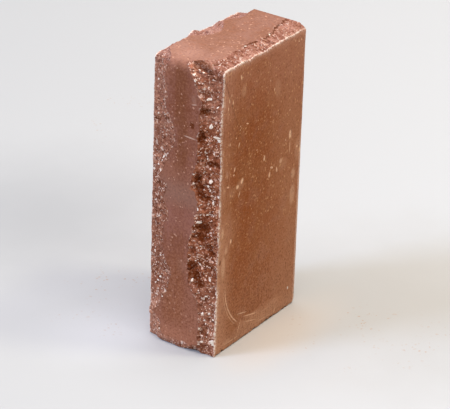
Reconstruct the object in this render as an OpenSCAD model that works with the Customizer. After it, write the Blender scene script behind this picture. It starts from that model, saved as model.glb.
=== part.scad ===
// Corner facing brick: a solid pressed brick with two facing sides, the stretcher (-Y) and the header
// (+Z). Along both, the arris against each bed is split off and leaves a rough hollow margin beside a
// smooth pressed band. Frame: millimetres, +Z up the length, origin at the middle of the plain end.

/* [Block] */
// length of the brick, from the plain end to the header face
brick_length = 250; // [205:1:300]
// width of the brick, from the stretcher face to the plain back
brick_width = 120; // [98:1:145]
// thickness of the brick, from bed to bed
brick_thickness = 65; // [53:1:79]
// radius of the moulded corner where the stretcher band turns into the header band
corner_radius = 9; // [7:0.5:12]
// width of the worn chamfer on the plain edges
edge_wear = 0.7; // [0.3:0.1:1.2]

/* [Chipped margins] */
// how far the bed's arris is set back behind the stretcher face
stretcher_drop = 6; // [4:0.1:7.5]
// how far the bed's arris is set back below the header face
header_drop = 4.4; // [3:0.1:6]
// width of every chip across the thickness, as a share of its usual width
chip_reach = 1; // [0.75:0.01:1.2]
// how hollow the chips are: 1 is a straight bevel, higher breaks down steeply beside the band
hollow = 2.4; // [1.4:0.1:3.4]
// height of the lumps left on the broken faces
lump = 0.9; // [0.2:0.1:1.8]

/* [Chips at the foot] */
// height of the small chips along the stretcher's lower edge
foot_height = 4.5; // [2:0.1:7]
// depth of the small chips along the stretcher's lower edge
foot_depth = 1.2; // [0.6:0.1:2.4]
// how far the knocked corner at the foot of the back is broken off along each edge
knocked_corner = 3.6; // [1:0.1:5]

/* [Hidden] */
L = brick_length;
W = brick_width;
T = brick_thickness;
R = corner_radius;
run_1 = L - R;
arc = R * PI / 2;
run_2 = W - R;
path = run_1 + arc + run_2;
over = 4;
pitch = 2.8;

// How far each margin runs in from its bed: [place along the facing path, width], in millimetres on a
// 250 x 120 x 65 brick. The path starts at the plain end, climbs the stretcher and crosses the header
// to the back.
margin_right = [
    [0, 14.4], [20, 14.2], [26, 13.4], [40, 13.8], [47, 15], [51, 18], [56, 22], [62, 24.2], [70, 25.4], [91, 25.4],
    [96, 25.1], [111, 21.7], [123, 19.1], [133, 17.5], [143, 19.7], [146, 24.6], [153, 22.9], [162, 22.2], [168, 19.5],
    [172, 18.7], [180, 18], [188, 20.1], [194, 18.4], [200, 17.6], [209, 17.9], [215, 16.4], [220, 15.4], [225, 19.3],
    [232, 21.4], [237, 23.4], [242, 27.3], [250, 30.6], [254, 25.8], [258, 20.3], [265, 14.3], [279, 12.6], [292, 12.3],
    [302, 14.2], [309, 13.4], [315, 12.6], [321, 11.1], [326, 11.4], [343, 14.9], [351, 16.4], [360, 18], [367, 18.8]];
margin_left = [
    [0, 16.7], [6, 16.7], [10, 14.7], [20, 13.4], [23, 9.7], [26, 6.2], [29, 9.2], [31, 12.2], [36, 14.2], [48, 19.7],
    [53, 21.7], [59, 23.2], [67, 23.2], [76, 18.2], [88, 14.2], [93, 15.7], [104, 15.7], [109, 17.7], [115, 20.2],
    [121, 19.2], [131, 15.2], [141, 18.7], [145, 14.7], [148, 9.7], [153, 14.7], [159, 15.2], [164, 19.2], [170, 20.7],
    [176, 23.2], [181, 24.7], [192, 24.7], [197, 22.2], [201, 20.2], [208, 16.7], [225, 16.7], [231, 14.7], [239, 16.2],
    [245, 19], [250, 18.4], [256, 12.4], [262, 7], [291, 7], [295, 12.9], [299, 15.9], [305, 19.5], [312, 20],
    [318, 18.5], [324, 14.2], [331, 10.3], [335, 11.3], [338, 13.3], [343, 17.8], [349, 18.8], [354, 16.8], [367, 16.3]];
least_reach = 5;

// Each lump: its place along the path, its distance in from the bed, its radius and its height above
// the broken face; a hollow has a height below 0.
lumps_right = [[152, 16, 9, -1.2], [195, 16, 8, -0.8], [247, 20, 8, -1], [258, 5, 9, 1.2], [24, 11, 9, -0.6], [2, 13, 12, -2]];
lumps_left = [[21.5, 2, 4.5, 1.9], [302, 2, 7, 3.3], [190, 15, 10, -0.6], [64, 14, 9, -0.5]];

// Each torn hole: its place along the path, its distance in from the bed, its half height along the
// path, its half width across it and its depth.
holes_right = [
    [250, 20, 3, 5, 1.6], [212, 14.5, 3, 4.5, 2.2], [190, 16.3, 7, 3, 2.4], [168.5, 6.5, 2, 5, 1.8],
    [152, 19.5, 8, 2.4, 2.4], [143, 16, 5, 2.4, 2.2], [139, 12, 3, 4.5, 1.8], [113, 14, 4.5, 5.5, 2.8],
    [104, 15, 3, 6, 2.4], [95, 7, 5, 3, 1.6], [77, 23, 4, 4.5, 2.2], [69, 19, 4, 4, 2],
    [62, 15.5, 4, 4, 2], [16, 15, 3, 4, 1.2]];
holes_left = [[193, 7, 4, 3, 0.7], [137, 9, 3, 2.5, 0.8], [72, 9, 4, 4, 0.7]];

// [place along the path, share]: how far each bed's arris is set back, against the two drops, and how
// hollow each margin is, against the hollow. Below about 0.4 the margin rounds over instead.
sink_right = [
    [0, 0.7], [40, 0.74], [56, 0.9], [68, 0.8], [82, 0.78], [94, 0.94], [130, 0.9], [168, 0.98], [184, 0.9], [198, 0.76],
    [214, 0.82], [224, 0.98], [238, 1.08], [246, 1], [255, 0.84], [270, 0.72], [281, 0.7], [288, 0.84], [300, 0.8], [307, 0.95],
    [320, 0.76], [335, 0.66], [345, 0.84], [356, 0.85], [363, 1], [367, 1.25]];
sink_left = [
    [0, 1], [232, 1.03], [246, 1.1], [256, 1], [264, 1.06], [290, 1.08], [300, 1.16], [312, 1.24], [326, 1.36], [330, 1.46],
    [336, 1.33], [348, 1.44], [356, 1.4], [367, 1.55]];
curl_right = [[0, 0.8], [240, 1], [256, 0.5], [290, 0.6], [318, 0.8], [345, 0.5], [358, 0.22], [367, 0.16]];
curl_left = [[0, 0.6], [240, 0.7], [300, 0.5], [340, 0.6], [352, 1.1], [367, 1.2]];

s_scale = path / 366.1;
x_scale = T / 65 * chip_reach;
function reach(list, s) = x_scale * max(least_reach, lookup(s / s_scale, list));

// repeatable scatter from -1 to 1
function scatter(i, j) = let (v = sin(i * 127.1 + j * 311.7 + 40) * 4375.85) 2 * (v - floor(v)) - 1;

function lumped(list, s, x) = [for (b = list)
    b[3] * max(0, 1 - (pow(s / s_scale - b[0], 2) + pow(x / x_scale - b[1], 2)) / (b[2] * b[2]))]
    * [for (b = list) 1];

function torn(list, s, x) = max(concat([0], [for (b = list)
    b[4] * pow(max(0, 1.25 - norm([(s / s_scale - b[0]) / b[2], (x / x_scale - b[1]) / b[3]])), 0.6)]));

// share of the way round from stretcher to header
function turned(s) = min(1, max(0, (s - run_1) / arc));
function drop(s) = let (t = turned(s)) stretcher_drop * (1 - t) + header_drop * t;

// the facing outline at s, sunk by d, as [y, z]
function outline(s, d) =
    let (r = max(R - d, 1), cy = -W / 2 + d + r, cz = L - d - r)
    s < run_1 ? [-W / 2 + d, s * cz / run_1]
    : s < run_1 + arc ? let (a = 90 * turned(s)) [cy - r * cos(a), cz + r * sin(a)]
    : [cy + (s - run_1 - arc) * (W / 2 - cy) / run_2, L - d];

n_1 = round((run_1 + over) / pitch);
n_a = 6;
n_2 = round((run_2 + over) / pitch);
stations = concat(
    [for (i = [0:n_1 - 1]) -over + (run_1 + over) * i / n_1],
    [for (i = [0:n_a - 1]) run_1 + arc * i / n_a],
    [for (i = [0:n_2]) run_1 + arc + (run_2 + over) * i / n_2]);
cols = [0, 0.06, 0.14, 0.24, 0.35, 0.47, 0.6, 0.74, 0.88, 1];

// one station of the cutter, from the band's edge out past the bed and back round outside the block
function ring(list, lumps, holes, sink, curl, i, seed, side) =
    let (s = stations[i], w = reach(list, s), n = len(cols),
        deep = drop(s) * lookup(s / s_scale, sink) + 0.35 * scatter(i, seed))
    concat(
        [for (j = [0:n])
            let (
                u = j < n ? cols[j] : 1,
                rise = 1 - pow(1 - u, hollow * lookup(s / s_scale, curl)),
                rough = lump * scatter(i, seed + 7 * j + 3) * (u > 0 && u < 1 ? sin(180 * pow(u, 0.7)) : 0),
                hole = torn(holes, s, w * (1 - u)) * min(1, w * (1 - u) / 1.5) * min(1, w * u / 1.2),
                d = u == 0 ? -0.5 : max(0.4, deep * rise + rough + hole - lumped(lumps, s, w * (1 - u))),
                x = T / 2 - w * (1 - u) + (j == n ? over : 0),
                p = outline(s, d))
            [side * x, p[0], p[1]]],
        [let (p = outline(s, -over)) [side * (T / 2 + over), p[0], p[1]],
         let (p = outline(s, -over)) [side * (T / 2 - w), p[0], p[1]]]);

module spall(list, lumps, holes, sink, curl, seed, side) {
    m = len(cols) + 3;
    n = len(stations);
    pts = [for (i = [0:n - 1]) each ring(list, lumps, holes, sink, curl, i, seed, side)];
    walls = [for (i = [0:n - 2], j = [0:m - 1])
        let (a = i * m + j, b = i * m + (j + 1) % m, c = b + m, e = a + m)
        each [[a, b, c], [a, c, e]]];
    ends = [for (j = [0:m - 3]) let (k = m - 2)
        each [[k, (k + j + 2) % m, (k + j + 1) % m], [k + (n - 1) * m, (k + j + 1) % m + (n - 1) * m, (k + j + 2) % m + (n - 1) * m]]];
    faces = concat(walls, ends);
    polyhedron(pts, side > 0 ? faces : [for (f = faces) [f[2], f[1], f[0]]]);
}

// small chips along the lower edge of the stretcher
module foot_chips() {
    n = 18;
    half = T / 2 + over;
    pts = [for (i = [0:n])
        let (
            x = -half + 2 * half * i / n,
            h = foot_height * (1 + 0.35 * scatter(i, 61) + 0.8 * max(0, sin(x / T * 200 - 20))),
            d = foot_depth * (1 + 0.45 * scatter(i, 67) + 3 * max(0, 1 - pow((x / T * 65 - 15) / 10, 2))))
        each [[x, -W / 2 - over, h], [x, -W / 2 - 0.2, h], [x, -W / 2 + 0.6 * d, 0.4 * h],
              [x, -W / 2 + d, 0], [x, -W / 2 + d, -over], [x, -W / 2 - over, -over]]];
    m = 6;
    walls = [for (i = [0:n - 1], j = [0:m - 1])
        let (a = i * m + j, b = i * m + (j + 1) % m, c = b + m, e = a + m)
        each [[a, b, c], [a, c, e]]];
    ends = [for (j = [0:m - 3]) let (k = 5)
        each [[k, (k + j + 2) % m, (k + j + 1) % m], [k + n * m, (k + j + 1) % m + n * m, (k + j + 2) % m + n * m]]];
    polyhedron(pts, concat(walls, ends));
}

// the knocked corner where the visible bed, the back and the plain end meet
module corner_chip() {
    e = 1;
    k = knocked_corner + 3 * e;
    translate([T / 2 + e, W / 2 + e, -e])
        polyhedron([[0, 0, 0], [-k, 0, 0], [0, -k, 0], [0, 0, k]], [[0, 1, 2], [0, 3, 1], [0, 2, 3], [1, 3, 2]]);
}

module worn(a, b) {
    offset_x = a / 2;
    offset_y = b / 2;
    c = edge_wear;
    polygon([
        [-offset_x + c, -offset_y], [offset_x - c, -offset_y], [offset_x, -offset_y + c],
        [offset_x, offset_y - c], [offset_x - c, offset_y], [-offset_x + c, offset_y],
        [-offset_x, offset_y - c], [-offset_x, -offset_y + c]]);
}

// the pressed block: rounded outer corner seen along X, worn edges everywhere else
module block() {
    intersection() {
        translate([T / 2, 0, 0])
            rotate([0, -90, 0])
                linear_extrude(T)
                    difference() {
                        translate([L / 2, 0]) worn(L, W);
                        difference() {
                            translate([L - R, -W / 2 - 1]) square([R + 1, R + 1]);
                            translate([L - R, -W / 2 + R]) circle(R, $fn = 96);
                        }
                    }
        linear_extrude(L) worn(T, W);
        translate([0, W / 2, L / 2]) rotate([90, 0, 0]) linear_extrude(W) worn(T, L);
    }
}

module brick() {
    color([0.58, 0.36, 0.28])
        difference() {
            block();
            spall(margin_right, lumps_right, holes_right, sink_right, curl_right, 11, 1);
            spall(margin_left, lumps_left, holes_left, sink_left, curl_left, 83, -1);
            foot_chips();
            corner_chip();
        }
}

brick();
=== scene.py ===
"""Corner facing brick: a solid pressed brick whose stretcher and header keep a smooth band between two
split margins. Metres, +Z up the brick's length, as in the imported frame."""
import math

import bpy
import numpy as np
from mathutils import Matrix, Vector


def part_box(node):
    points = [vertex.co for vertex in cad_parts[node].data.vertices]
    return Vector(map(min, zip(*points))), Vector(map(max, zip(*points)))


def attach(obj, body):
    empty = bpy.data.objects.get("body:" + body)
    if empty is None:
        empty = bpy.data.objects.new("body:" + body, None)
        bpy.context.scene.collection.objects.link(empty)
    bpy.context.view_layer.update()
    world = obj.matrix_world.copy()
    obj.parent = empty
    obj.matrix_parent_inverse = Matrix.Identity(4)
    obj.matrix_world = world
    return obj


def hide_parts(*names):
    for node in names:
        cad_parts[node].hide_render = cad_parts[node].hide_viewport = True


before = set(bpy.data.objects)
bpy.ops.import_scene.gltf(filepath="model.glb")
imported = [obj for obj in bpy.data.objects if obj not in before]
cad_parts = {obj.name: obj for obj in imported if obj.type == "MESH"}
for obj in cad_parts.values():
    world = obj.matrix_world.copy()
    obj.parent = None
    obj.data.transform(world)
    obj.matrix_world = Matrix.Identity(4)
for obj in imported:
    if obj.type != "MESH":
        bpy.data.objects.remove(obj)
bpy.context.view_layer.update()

# --- The brick -------------------------------------------------------------------------------------
# One solid block of brown-red mix, pressed nearly dry in a steel mould and hardened, so its skin is
# smooth and close. Along the stretcher and the header both arrises were then split off against the
# beds, which leaves a straight crushed line on each bed and a hollow, gritty margin beside the band.

low, high = (np.array(corner) * 1000 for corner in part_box("brick"))
thick, width, length = high - low
corner_radius = 9.0
# how far the split margins fall below the pressed band at the beds, and the power of that fall
stretcher_drop, header_drop = 6.0, 4.4
hollow = 2.4
# how far the plain edges are worn, the facing's arrises stand in from the bed and from the facing, and
# the corner at the foot of the back is knocked off
edge_wear, nose, arris_inset, knocked_corner = 0.7, 0.3, 0.45, 3.6
# the facing path: up the stretcher, round the outer corner, then back along the header
run_1 = length - corner_radius
arc = corner_radius * math.pi / 2
run_2 = width - corner_radius
path = run_1 + arc + run_2

# how far each margin runs in from its bed: place along the facing path and width, in mm
margin_right = [
    (0, 14.4), (20, 14.2), (26, 13.4), (40, 13.8), (47, 15), (51, 18), (56, 22), (62, 24.2), (70, 25.4),
    (91, 25.4), (96, 25.1), (111, 21.7), (123, 19.1), (133, 17.5), (143, 19.7), (146, 24.6), (153, 22.9),
    (162, 22.2), (168, 19.5), (172, 18.7), (180, 18), (188, 20.1), (194, 18.4), (200, 17.6), (209, 17.9),
    (215, 16.4), (220, 15.4), (225, 19.3), (232, 21.4), (237, 23.4), (242, 27.3), (250, 30.6),
    (254, 25.8), (258, 20.3), (265, 14.3), (279, 12.6), (292, 12.3), (302, 14.2), (309, 13.4),
    (315, 12.6), (321, 11.1), (326, 11.4), (343, 14.9), (351, 16.4), (360, 18), (367, 18.8)]
margin_left = [
    (0, 16.7), (6, 16.7), (10, 14.7), (20, 13.4), (23, 9.7), (26, 6.2), (29, 9.2), (31, 12.2), (36, 14.2),
    (48, 19.7), (53, 21.7), (59, 23.2), (67, 23.2), (76, 18.2), (88, 14.2), (93, 15.7), (104, 15.7),
    (109, 17.7), (115, 20.2), (121, 19.2), (131, 15.2), (141, 18.7), (145, 14.7), (148, 9.7), (153, 14.7),
    (159, 15.2), (164, 19.2), (170, 20.7), (176, 23.2), (181, 24.7), (192, 24.7), (197, 22.2),
    (201, 20.2), (208, 16.7), (225, 16.7), (231, 14.7), (239, 16.2), (245, 19), (250, 18.4), (256, 12.4),
    (262, 7), (291, 7), (295, 12.9), (299, 15.9), (305, 19.5), (312, 20), (318, 18.5), (324, 14.2),
    (331, 10.3), (335, 11.3), (338, 13.3), (343, 17.8), (349, 18.8), (354, 16.8), (367, 16.3)]
# each lump: its place along the path, its distance from the bed, its radius and its height, in mm
lumps_right = [
    (152, 16, 9, -1.2), (195, 16, 8, -0.8), (247, 20, 8, -1), (258, 5, 9, 1.2), (24, 11, 9, -0.6),
    (2, 13, 12, -2), (367, 6.5, 6, 0.9)]
lumps_left = [(21.5, 2, 4.5, 1.9), (302, 2, 7, 3.3), (190, 15, 10, -0.6), (64, 14, 9, -0.5)]
# along the path: how far each arris is sunk, against the plain drop, and how hollow each margin is
sink_right = [
    (0, 0.7), (40, 0.74), (56, 0.9), (68, 0.8), (82, 0.78), (94, 0.94), (130, 0.9), (168, 0.98),
    (184, 0.9), (198, 0.76), (214, 0.82), (224, 0.98), (238, 1.08), (246, 1), (255, 0.84), (270, 0.72),
    (281, 0.7), (288, 0.84), (300, 0.8), (307, 0.95), (320, 0.76), (335, 0.66), (345, 0.84), (356, 0.85),
    (363, 1), (367, 1.25)]
sink_left = [
    (0, 1), (232, 1.03), (246, 1.1), (256, 1), (264, 1.06), (290, 1.08), (300, 1.16), (312, 1.24),
    (326, 1.36), (330, 1.46), (336, 1.33), (348, 1.44), (356, 1.4), (367, 1.55)]
curl_right = [
    (0, 0.8), (240, 1.0), (256, 0.5), (290, 0.6), (318, 0.8), (345, 0.5), (358, 0.22), (367, 0.16)]
curl_left = [(0, 0.6), (240, 0.7), (300, 0.5), (340, 0.6), (352, 1.1), (367, 1.2)]
# how whitely each bed's arris is crushed along the path
crushed_along = [
    (0, 1), (58, 1), (62, 0.2), (72, 0.2), (76, 0.7), (90, 0.6), (104, 0.95), (134, 1), (140, 0.55),
    (150, 0.55), (156, 1), (172, 1), (182, 0.75), (206, 0.9), (230, 0.65), (246, 1), (286, 1),
    (292, 0.75), (340, 0.85), (352, 0.55), (367, 0.6)]
# how clearly a crack opens along the right margin's rim; its dark line is painted shadow
rim_line = [(0, 0), (296, 0), (300, 1), (322, 1), (328, 0.3), (338, 0.4), (344, 1), (360, 1), (366, 0.4)]
# each torn hole: place along the path, distance from the bed, half height, half width and depth, in mm
holes_right = [
    (252, 19, 5, 8, 2.2), (259, 11.5, 3, 3, 1.4), (212, 14.5, 3, 4.5, 2.2), (190, 16.3, 7, 3, 2.4),
    (168.5, 6.5, 2, 5, 1.8), (152, 19.5, 8, 2.4, 2.4), (143, 16, 5, 2.4, 2.2), (139, 12, 3, 4.5, 1.8),
    (113, 14, 4.5, 5.5, 2.8), (104, 15, 3, 6, 2.4), (95, 7, 5, 3, 1.6), (77, 23, 4, 4.5, 2.2),
    (69, 19, 4, 4, 2), (62, 15.5, 4, 4, 2), (21.5, 9.5, 3, 5, 1.2), (246, 13, 2, 3.5, 1.2)]
holes_left = [(197, 16, 1.6, 2.2, 1.0), (193, 7, 4, 3, 0.7), (137, 9, 3, 2.5, 0.8), (72, 9, 4, 4, 0.7)]
# how rugged each broken face is along the path
rugged_right = [
    (0, 0.85), (50, 0.9), (80, 1.1), (198, 1.1), (210, 0.8), (245, 0.8), (258, 0.75), (367, 0.65)]
rugged_left = [(0, 0.75), (250, 0.65), (290, 0.8), (367, 0.9)]
# each large pale stone: place along the path, distance from the bed, half height and half width, in mm
stones_right = [
    (331, 12, 1.2, 1), (300, 13, 1, 1), (268, 16, 1.3, 1.2), (259, 9, 1.2, 1.2), (247, 21.5, 1.1, 1.2),
    (245.5, 17.5, 0.8, 0.8), (241, 24, 1.5, 1.1), (238.5, 10, 0.6, 0.7), (236.5, 22.5, 1, 1),
    (232, 12.5, 0.7, 0.9), (223, 11, 1.5, 2.4), (218, 3.5, 0.8, 0.8), (201, 8.5, 2.4, 1.5),
    (193, 3.5, 1.2, 4), (190.5, 1.8, 1.6, 1.6), (178, 6, 1.5, 1.2), (172.5, 11.5, 1, 0.7),
    (164.5, 8.5, 0.9, 0.9), (160, 15, 0.7, 0.9), (158, 21.5, 1, 1.1), (154, 7.8, 1.6, 1.6),
    (149.5, 22, 0.9, 0.9), (149, 10.7, 1, 1.2), (145.6, 9, 1.2, 0.8), (142, 1.4, 1.2, 1),
    (135.7, 6.1, 1.9, 1), (129.2, 17, 2, 1.5), (124.8, 9.7, 1, 0.8), (124.6, 15, 0.8, 0.8),
    (117.2, 16.4, 1.7, 1.5), (104, 19.5, 0.9, 0.8), (102.5, 24, 0.9, 1), (96, 15.5, 0.8, 0.9),
    (92.5, 27.5, 1, 1), (82.5, 19, 0.8, 0.9), (80, 15, 1.3, 1), (64.5, 21.5, 2, 0.9),
    (63.5, 25.5, 2, 0.9), (57, 0.6, 1.6, 0.9), (56, 21.5, 0.9, 0.9), (53, 9, 1, 1.2), (49, 0.5, 2.4, 0.9),
    (41, 0.6, 1.6, 0.8), (38.3, 5.8, 1.1, 1.1), (37.8, 10.4, 1.2, 1.1), (36, 0.5, 1.8, 0.9),
    (33.5, 2.2, 1.3, 1.1), (31.4, 9, 1, 1), (28.4, 8.1, 0.9, 0.9), (23.6, 13.4, 1.2, 1.2),
    (20.8, 6.3, 0.7, 0.8), (13.8, 4.3, 1, 1), (13, 1.8, 3.2, 2.4), (11.6, 11, 1, 1.2),
    (8.8, 13.6, 0.9, 1.5), (7.5, 18, 0.8, 1)]
stones_left = [
    (298, 2.5, 0.8, 0.8), (226, 5, 0.8, 0.8), (207, 15, 0.7, 0.9), (199, 13, 0.8, 0.9),
    (198, 6.5, 1.2, 0.8), (163.5, 13.5, 1.9, 0.8), (160, 12.5, 1.2, 0.8), (155, 8, 0.9, 0.9),
    (151.5, 11, 1.2, 1.1), (148, 9.5, 0.9, 1), (77, 5, 1, 0.9), (76, 12, 0.8, 0.9),
    (56.5, 11.5, 1.1, 0.9), (52, 9, 0.8, 1.2), (49, 6.5, 0.9, 0.8), (47, 14, 0.9, 0.6),
    (45, 10, 0.9, 0.8), (41, 16, 0.7, 0.7), (39.5, 8.6, 1.1, 1.2), (33, 9.5, 1, 0.7), (26, 12, 3, 0.7),
    (19.5, 12.6, 3.6, 0.8), (11, 14.2, 1.4, 0.8)]


def scatter(i, j, seed):
    """Repeatable scatter from 0 to 1 at whole numbers i and j: the fraction left of a large sine."""
    v = np.sin(i * 12.9898 + j * 78.233 + seed * 37.719) * 43758.5453
    return v - np.floor(v)


def swell(s, x, size, seed):
    """Smooth noise from -1 to 1: scatter at the corners of squares of this size, eased by 3t^2 - 2t^3."""
    a, b = s / size, x / size
    i, j = np.floor(a), np.floor(b)
    u, v = a - i, b - j
    u, v = u * u * (3 - 2 * u), v * v * (3 - 2 * v)
    near = scatter(i, j, seed) * (1 - u) + scatter(i + 1, j, seed) * u
    far = scatter(i, j + 1, seed) * (1 - u) + scatter(i + 1, j + 1, seed) * u
    return 2 * (near * (1 - v) + far * v) - 1


def chunks(s, x, size, seed):
    """Each place goes to the nearest of one point per square. Gives the distance to that point, the two
    offsets from it, in mm, and its own three scatter numbers."""
    a, b = s / size, x / size
    best = np.full(a.shape, 9.0)
    da, db, ci, cj = (np.zeros(a.shape) for _ in range(4))
    for di in (-1, 0, 1):
        for dj in (-1, 0, 1):
            i, j = np.floor(a) + di, np.floor(b) + dj
            oa = a - i - scatter(i, j, seed)
            ob = b - j - scatter(i, j, seed + 1)
            dist = np.hypot(oa, ob)
            closer = dist < best
            best = np.where(closer, dist, best)
            da, db = np.where(closer, oa, da), np.where(closer, ob, db)
            ci, cj = np.where(closer, i, ci), np.where(closer, j, cj)
    return best * size, da * size, db * size, [scatter(ci, cj, seed + k) for k in (2, 3, 4)]


def reach(margin, s, seed):
    """How far the split margin runs in from the bed: the margin's widths joined up, then an edge that
    wanders over 5.3 and 2.1 mm and jumps every 0.9 mm."""
    ragged = 0.9 * swell(s, s * 0, 5.3, seed) + 0.6 * swell(s, s * 0, 2.1, seed + 5)
    jump = 0.4 * (2 * scatter(np.floor(s / 0.9), 0 * s, seed + 9) - 1)
    return np.interp(s, *zip(*margin)) + ragged + jump


def turned(s):
    """Share of the way round the outer corner, from the stretcher, 0, to the header, 1."""
    return np.clip((s - run_1) / arc, 0, 1)


def outline(s, d):
    """The facing outline at s, sunk by d: up the stretcher, round a quarter circle of radius R - d,
    then back along the header. Gives y and z."""
    r = np.maximum(corner_radius - d, 1)
    cy, cz = -width / 2 + d + r, length - d - r
    a = math.pi / 2 * turned(s)
    y = np.where(s < run_1, -width / 2 + d, cy - r * np.cos(a))
    z = np.where(s < run_1, s * cz / run_1, cz + r * np.sin(a))
    on_header = s > run_1 + arc
    along = cy + (s - run_1 - arc) * (width / 2 - cy) / run_2
    return np.where(on_header, along, y), np.where(on_header, length - d, z)


def split_face(s, inward, wide, sink, curl, lumps, holes, rugged, open_rim, seed):
    """Depth of the broken face below the pressed one. inward is the distance in from the bed and wide
    the margin's width there; u = 1 - inward / wide runs from the rim, 0, to the bed, 1. The depth is
    drop (1 - (1 - u)^curl), plus lumps, holes with round floors, angular chunks at three sizes, and a
    narrow crack beside the rim. Gives the depth, and the painted shade of the holes, crack and hollows
    there."""
    u = np.clip(1 - inward / wide, 0, 1)
    t = turned(s)
    drop = (stretcher_drop * (1 - t) + header_drop * t) * np.interp(s, *zip(*sink))
    from_rim = wide - inward
    power = hollow * np.interp(s, *zip(*curl))
    depth = (drop + 0.35 * swell(s, inward * 0, 7, seed)) * (1 - (1 - u) ** power)
    for at, place, radius, height in lumps:
        depth -= height * np.clip(1 - ((s - at) ** 2 + (inward - place) ** 2) / radius ** 2, 0, 1)
    ws = s + 1.3 * swell(s, inward, 5, seed + 7)
    wx = inward + 1.3 * swell(s, inward, 4, seed + 8)
    hole = 0 * depth
    for at, place, tall, across, deep in holes:
        far = np.hypot((ws - at) / tall, (wx - place) / across)
        hole = np.maximum(hole, deep * np.clip(1.25 - far, 0, 1) ** 0.6 * np.clip(inward / 1.5, 0, 1))
    loose = np.clip(from_rim / 1.2, 0, 1) * (0.3 + 0.7 * np.clip(inward / 3, 0, 1))
    rough = 0.8 * swell(s, inward * 0.6, 8, seed + 11) + 0.4 * swell(s, inward, 4, seed + 12)
    for tall, across, lift, tilt, k in (
            (4.2, 6.5, 0.5, 0.2, 20), (2.1, 2.9, 0.28, 0.2, 30), (1.2, 1.4, 0.16, 0.14, 40)):
        wavy = (s + 0.7 * swell(s, inward, 3, k)) / tall
        _, da, db, (a, b, c) = chunks(wavy, inward / across, 1, seed + k)
        rough += lift * (2 * a - 1) + tilt * ((2 * b - 1) * da * tall + (2 * c - 1) * db * across)
    rough *= np.interp(s, *zip(*rugged))
    # the crack lies 1 mm in from the rim, and is closed here and there
    crack = np.exp(-((from_rim - 1) / 0.8) ** 2) * np.interp(s, *zip(*open_rim))
    crack *= swell(s, inward, 6, seed + 3) > -0.45
    # the second number is painted shade: most in the holes and the crack, some in the deeper rough spots
    return depth + (rough + hole) * loose + 0.6 * crack, hole + 0.4 * rough + 2.4 * crack


def stone_field(s, inward, stones, seed):
    """Large pale stones: 1 inside each rough oval and falling to 0 just outside it."""
    ws = s + 0.5 * swell(s, inward, 1.5, seed)
    wx = inward + 0.5 * swell(s, inward, 1.5, seed + 1)
    best = 0 * ws
    for at, place, tall, across in stones:
        best = np.maximum(best, 1.1 - np.hypot((ws - at) / tall, (wx - place) / across))
    return np.clip(best * 2, 0, 1)


def grit(s, x, size, share, seed):
    """Pale crushed stone in the broken mix: round grains, only the given share of the chunks holds one."""
    dist, _, _, (a, b, _) = chunks(s, x, size, seed)
    return np.where(a < share, np.clip(1.25 - dist / (size * (0.16 + 0.3 * b)), 0, 1), 0)


# rows along the facing path, columns across it: split margin, pressed band, split margin
rows, rows_back, rows_foot = 592, 60, 110
cols_side, cols_band = 34, 36
s_row = np.linspace(edge_wear, path - edge_wear, rows)[:, None]
wide_l = reach(margin_left, s_row, 5)
wide_r = reach(margin_right, s_row, 9)
t_side = np.linspace(0, 1, cols_side + 1)[None, :]
t_side = 1 - (1 - t_side) ** 1.25
t_band = np.linspace(0, 1, cols_band + 1)[None, 1:-1]
x_left = -thick / 2 + nose + (wide_l - nose) * t_side
x_right = (thick / 2 - nose - (wide_r - nose) * t_side)[:, ::-1]
x_band = x_left[:, -1:] + (x_right[:, :1] - x_left[:, -1:]) * t_band
x_face = np.hstack([x_left, x_band, x_right])
s_face = s_row + 0 * x_face

in_l, in_r = x_left + thick / 2, thick / 2 - x_right
s_l, s_r = s_row + 0 * in_l, s_row + 0 * in_r
d_left, pit_shade_l = split_face(
    s_l, in_l, wide_l, sink_left, curl_left, lumps_left, holes_left, rugged_left, [(0, 0)], 83)
d_right, pit_shade_r = split_face(
    s_r, in_r, wide_r, sink_right, curl_right, lumps_right, holes_right, rugged_right, rim_line, 11)
stones = np.hstack([
    stone_field(s_l, in_l, stones_left, 51), 0 * x_band, stone_field(s_r, in_r, stones_right, 52)])
d_left[:, -1], d_right[:, 0] = 0, 0
d_face = np.hstack([d_left, 0 * x_band, d_right])
broken = np.hstack([0 * d_left + 1, 0 * x_band, 0 * d_right + 1])
broken[:, cols_side] = 0.5
broken[:, -cols_side - 1] = 0.5
# painted shade over both margins, none over the band
rough = np.hstack([pit_shade_l, 0 * x_band, pit_shade_r])

# small chips along the stretcher's lower edge: their height and depth, then the middle and the half width
# of the deepest
chip_high, chip_deep, deep_at, deep_half = 4.5, 1.2, 15.0, 10.0
right_side = np.clip(np.sin(x_face / thick * 3.5 - 0.35), 0, 1)
foot = chip_high * (1 + 0.4 * swell(x_face, 0 * x_face, 4, 61) + 0.8 * right_side)
deeper = 3 * np.clip(1 - ((x_face - deep_at) / deep_half) ** 2, 0, 1)
foot_cut = chip_deep * (1 + 0.5 * swell(x_face, 0 * x_face, 5, 67) + deeper)
foot_cut = foot_cut * np.clip(1 - s_face / foot, 0, 1) ** 0.7
foot_cut += 0.25 * (s_face < foot) * swell(x_face, s_face, 1.6, 68) * (foot_cut > 0)
broken = np.maximum(broken, np.clip(foot_cut / 0.25, 0, 1) * (d_face < foot_cut))
d_face = np.maximum(d_face, np.maximum(foot_cut, 0))
coarse, finer = grit(s_face, x_face, 2.0, 0.025, 7), grit(s_face, x_face, 1.3, 0.04, 17)
grain = np.maximum(0.8 * coarse, 0.7 * finer) * broken
grain = np.maximum(grain, stones * broken)
d_face = np.maximum(d_face - (0.15 * grain + 0.35 * stones) * (d_face > 0.5), 0)

y_face, z_face = outline(s_face, d_face)

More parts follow.
